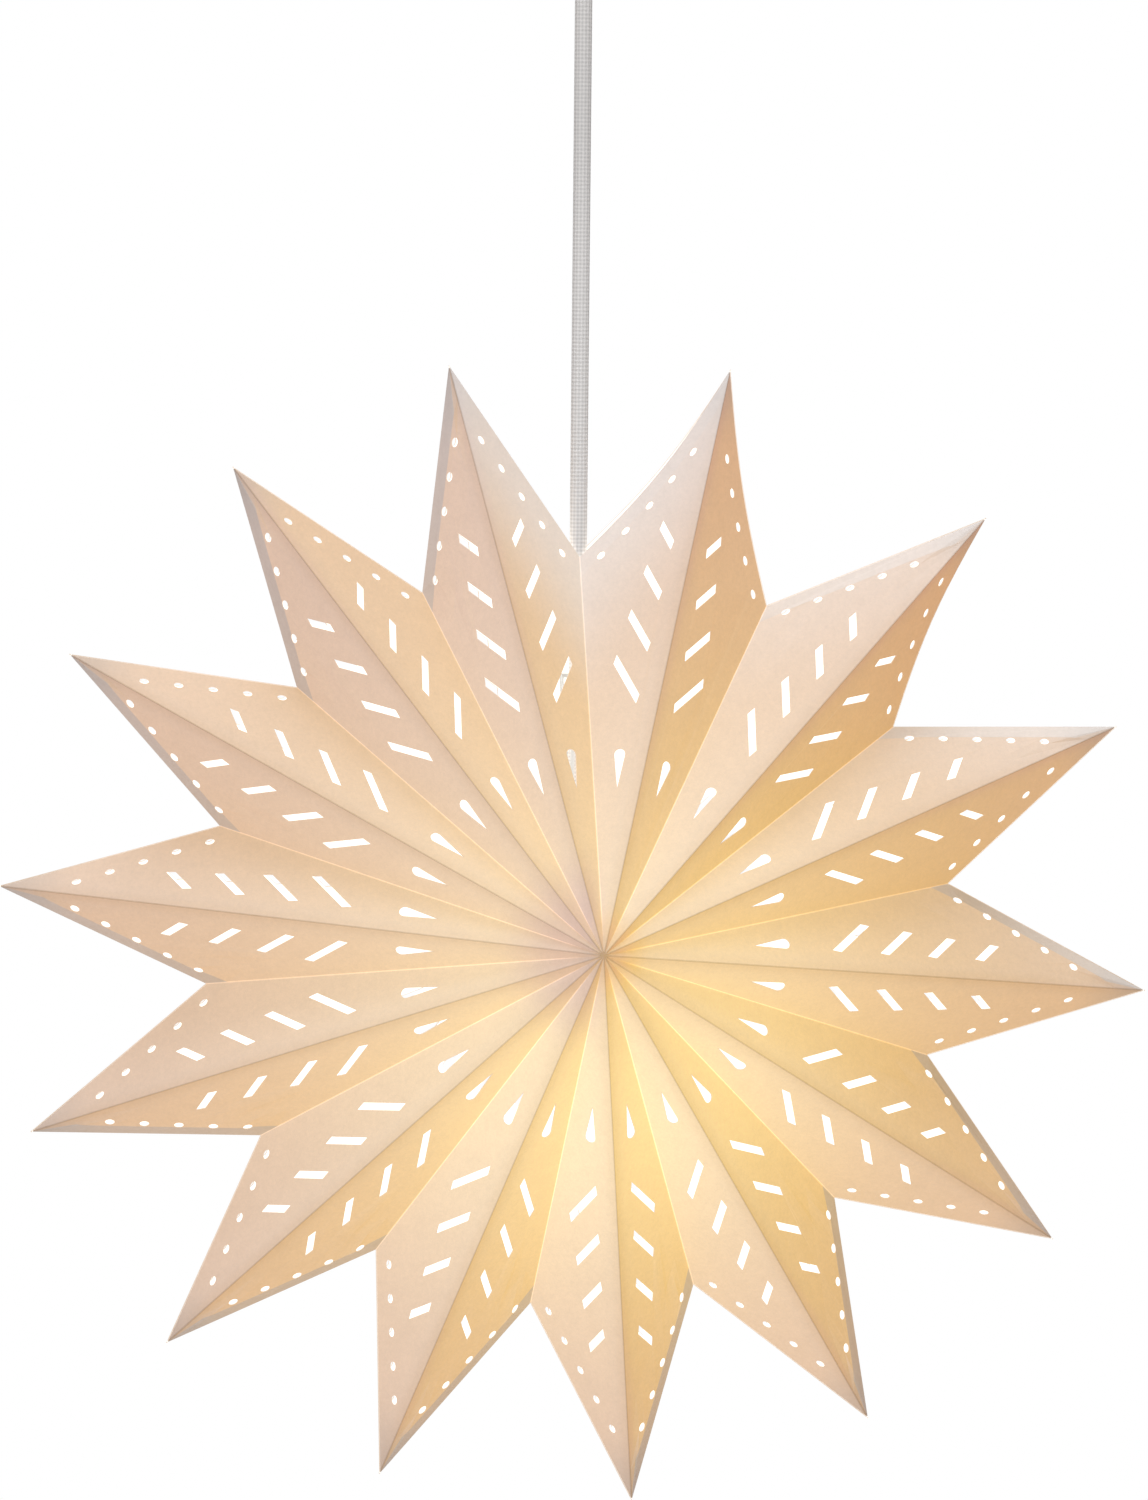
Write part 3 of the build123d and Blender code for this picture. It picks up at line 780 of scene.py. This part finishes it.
finishes = {
    "white_plastic": wornMaterial("whitePlastic", (0.86, 0.86, 0.84), 0.42, grain=1400.0,
                                  tint=0.03),
    "grey_plastic": wornMaterial("greyPlastic", (0.72, 0.72, 0.70), 0.55, tint=0.04),
    "ceramic": wornMaterial("ceramicGlaze", (0.86, 0.85, 0.81), 0.22, tint=0.05, grain=500.0),
    "black_insulator": wornMaterial("blackInsulator", (0.03, 0.03, 0.03), 0.3),
    "nickel": wornMaterial("nickel", (0.72, 0.70, 0.66), 0.25, 1.0, tint=0.05, bump=0.03),
    "zinc_steel": wornMaterial("zincSteel", (0.62, 0.63, 0.64), 0.42, 1.0, tint=0.12,
                               grain=260.0, spread=0.3, bump=0.02),
    "spring_steel": wornMaterial("springSteel", (0.55, 0.55, 0.55), 0.3, 1.0, grain=1600.0),
    "brass": wornMaterial("brass", (0.72, 0.52, 0.22), 0.3, 1.0, tint=0.08),
    "core_insulation": wornMaterial("coreInsulation", (0.35, 0.2, 0.12), 0.5),
    "opal_glass": wornMaterial("opalGlass", (0.95, 0.9, 0.82), 0.3, tint=0.02),
}
bulb = {"bottom": -512.0, "top": -450.5, "radius": 11.0, "neck": 6.6, "shoulder": 9.0,
        "sides": 48, "roundSteps": 12, "wallSteps": 4, "shoulderSteps": 8,
        "light": (1.0, 0.85, 0.6), "lightStrength": 1.6, "coat": 0.6,
        "threadPitch": 2.82, "threadDepth": 0.5, "threadColor": (0.72, 0.70, 0.66),
        "threadRoughness": 0.28}
opal = shaderOf(finishes["opal_glass"])
opal.inputs["Emission Color"].default_value = (*bulb["light"], 1)
opal.inputs["Emission Strength"].default_value = bulb["lightStrength"]
opal.inputs["Coat Weight"].default_value = bulb["coat"]


def lathe(name, profile, sides, material):      # turns (radius, height) corners into a solid
    shape = bmesh.new()
    rings = [ringAt(shape, r, z, sides) for r, z in profile]
    for low, high in zip(rings, rings[1:]):
        for s in range(sides):
            t = (s + 1) % sides
            shape.faces.new((low[s], low[t], high[t], high[s])).smooth = True
    return finishRound(shape, rings, name, material)


def bulbDome():      # a small round-ended bulb whose neck runs into its cap
    r, low = bulb["radius"], bulb["bottom"]
    profile = []
    for step in range(1, bulb["roundSteps"] + 1):
        t = pi / 2 * step / bulb["roundSteps"]
        profile.append((r * sin(t), low + r - r * cos(t)))
    shoulder = bulb["top"] - bulb["shoulder"]
    for step in range(1, bulb["wallSteps"] + 1):
        profile.append((r, low + r + (shoulder - low - r) * step / bulb["wallSteps"]))
    for step in range(1, bulb["shoulderSteps"] + 1):      # a smooth S down to the neck
        t = step / bulb["shoulderSteps"]
        ease = t * t * (3 - 2 * t)
        profile.append((r + (bulb["neck"] - r) * ease, shoulder + (bulb["top"] - shoulder) * t))
    dome = lathe("bulb_dome", profile, bulb["sides"], finishes["opal_glass"])
    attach(dome, "bulb")
    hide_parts("bulb_glass")


def threadedMetal():      # rolled screw thread on the bulb's cap, as a winding bump
    material = wornMaterial("rolledThread", bulb["threadColor"], bulb["threadRoughness"], 1.0,
                            tint=0.05)
    tree = material.node_tree
    split = tree.nodes.new("ShaderNodeSeparateXYZ")
    link(tree, tree.nodes.new("ShaderNodeTexCoord").outputs["Object"], split.inputs[0])
    turn = mathNode(tree, "ARCTAN2", split.outputs["Y"], split.outputs["X"])
    winding = 2 * pi / mm(bulb["threadPitch"])
    wind = mathNode(tree, "MULTIPLY_ADD", split.outputs["Z"], winding, turn)
    addBump(material, mathNode(tree, "SINE", wind), 1.0, bulb["threadDepth"])
    return material


slotOf = {entry["node"]: entry["material_slot"] for entry in frame["record"]["subparts"]}
for name, obj in nodes.items():
    look = finishes.get(slotOf[name])
    if look:
        obj.data.materials.clear()
        obj.data.materials.append(look)
nodes["bulb_cap"].data.materials[0] = threadedMetal()
bulbDome()
print("finishes and bulb done")


studio = {
    "floor": -0.95, "floorHalf": 6.0,           # metres
    "floorColor": (0.88, 0.88, 0.88), "floorRoughness": 0.9,
    "shadowKeep": 0.5,                          # how much of the lit floor the camera sees
    "shadowNear": 0.25, "shadowFar": 1.2,       # and between which distances that fades out
    "world": 0.35, "background": (1.0, 1.0, 1.0),
}
lamps = {      # place from the star's middle, size, energy and colour
    "key": ((-0.45, -1.75, 0.85), 1.0, 15.0, (0.90, 0.96, 1.0)),
    "top": ((0.0, -0.1, 2.0), 1.4, 44.0, (0.94, 0.98, 1.0)),
}


def directRays(tree):      # 1 for rays from the camera, from mirrors and through glass
    rays = tree.nodes.new("ShaderNodeLightPath").outputs
    seen = mathNode(tree, "MAXIMUM", rays["Is Camera Ray"], rays["Is Glossy Ray"])
    return mathNode(tree, "MAXIMUM", seen, rays["Is Transmission Ray"])


def floorObject():      # white to the camera, with some of the lit floor and its shadow kept
    half, height = studio["floorHalf"], studio["floor"]
    mesh = bpy.data.meshes.new("floor")
    corners = [(x * half, y * half, height) for x, y in ((-1, -1), (1, -1), (1, 1), (-1, 1))]
    mesh.from_pydata(corners, [], [(0, 1, 2, 3)])
    material = newMaterial("floor", studio["floorColor"], studio["floorRoughness"])
    tree = material.node_tree
    place = tree.nodes.new("ShaderNodeTexCoord").outputs["Object"]
    away = vectorNode(tree, "DISTANCE", place, (0.0, 0.0, height), "Value")
    shadow = fade(tree, away, studio["shadowNear"], studio["shadowFar"])
    keep = mathNode(tree, "MULTIPLY", shadow, studio["shadowKeep"])
    whiteness = mathNode(tree, "MULTIPLY", directRays(tree),
                         mathNode(tree, "SUBTRACT", 1.0, keep))
    white = tree.nodes.new("ShaderNodeEmission")
    white.inputs["Color"].default_value = (*studio["background"], 1)
    top = mixShader(tree, whiteness, shaderOf(material).outputs[0], white.outputs[0])
    below = tree.nodes.new("ShaderNodeNewGeometry").outputs["Backfacing"]
    clear = tree.nodes.new("ShaderNodeBsdfTransparent").outputs[0]      # seen from below
    link(tree, mixShader(tree, below, top, clear), tree.nodes["Material Output"].inputs["Surface"])
    obj = objectFrom("floor", mesh, [material])


def worldLight():      # soft light on the lamp, plain white to the camera
    world = bpy.data.worlds.new("studio")
    bpy.context.scene.world = world
    world.use_nodes = True
    tree = world.node_tree
    soft = tree.nodes["Background"]
    soft.inputs["Color"].default_value = (1, 1, 1, 1)
    soft.inputs["Strength"].default_value = studio["world"]
    white = tree.nodes.new("ShaderNodeBackground")
    white.inputs["Color"].default_value = (*studio["background"], 1)
    shown = mixShader(tree, directRays(tree), soft.outputs[0], white.outputs[0])
    link(tree, shown, tree.nodes["World Output"].inputs["Surface"])


def areaLight(name, offset, size, energy, color):      # turned to the star's middle
    light = bpy.data.lights.new(name, "AREA")
    light.size = size
    light.energy = energy
    light.color = color
    obj = bpy.data.objects.new(name, light)
    place = middle + Vector(offset)
    obj.location = place
    obj.rotation_euler = (middle - place).to_track_quat("-Z", "Y").to_euler()
    bpy.context.scene.collection.objects.link(obj)


floorObject()
worldLight()
for name, setting in lamps.items():
    areaLight(name, *setting)

photo = {"width": 1148, "height": 1500, "scale": 2583.0, "centre": (579.6, 933.3),
         "distance": 2.5, "yaw": 7.6, "pitch": 6.9, "roll": 0.57,
         "sensor": 36.0}      # scale: pixels to the metre; angles in degrees


def photoCamera():
    yaw, pitch = radians(photo["yaw"]), radians(photo["pitch"])
    towards = Vector((-sin(yaw) * cos(pitch), -cos(yaw) * cos(pitch), sin(pitch)))
    data = bpy.data.cameras.new("camera")
    data.sensor_fit = "HORIZONTAL"
    data.sensor_width = photo["sensor"]
    data.lens = photo["sensor"] * photo["scale"] * photo["distance"] / photo["width"]
    data.shift_x = (photo["width"] / 2 - photo["centre"][0]) / photo["width"]
    data.shift_y = (photo["centre"][1] - photo["height"] / 2) / photo["width"]
    camera = bpy.data.objects.new("camera", data)
    turn = (-towards).to_track_quat("-Z", "Y").to_matrix().to_4x4()
    turn = turn @ Matrix.Rotation(radians(photo["roll"]), 4, "Z")
    camera.matrix_world = Matrix.Translation(middle + towards * photo["distance"]) @ turn
    bpy.context.scene.collection.objects.link(camera)
    bpy.context.scene.camera = camera


photoCamera()
bpy.context.scene.view_settings.view_transform = "Standard"
print("scene done")
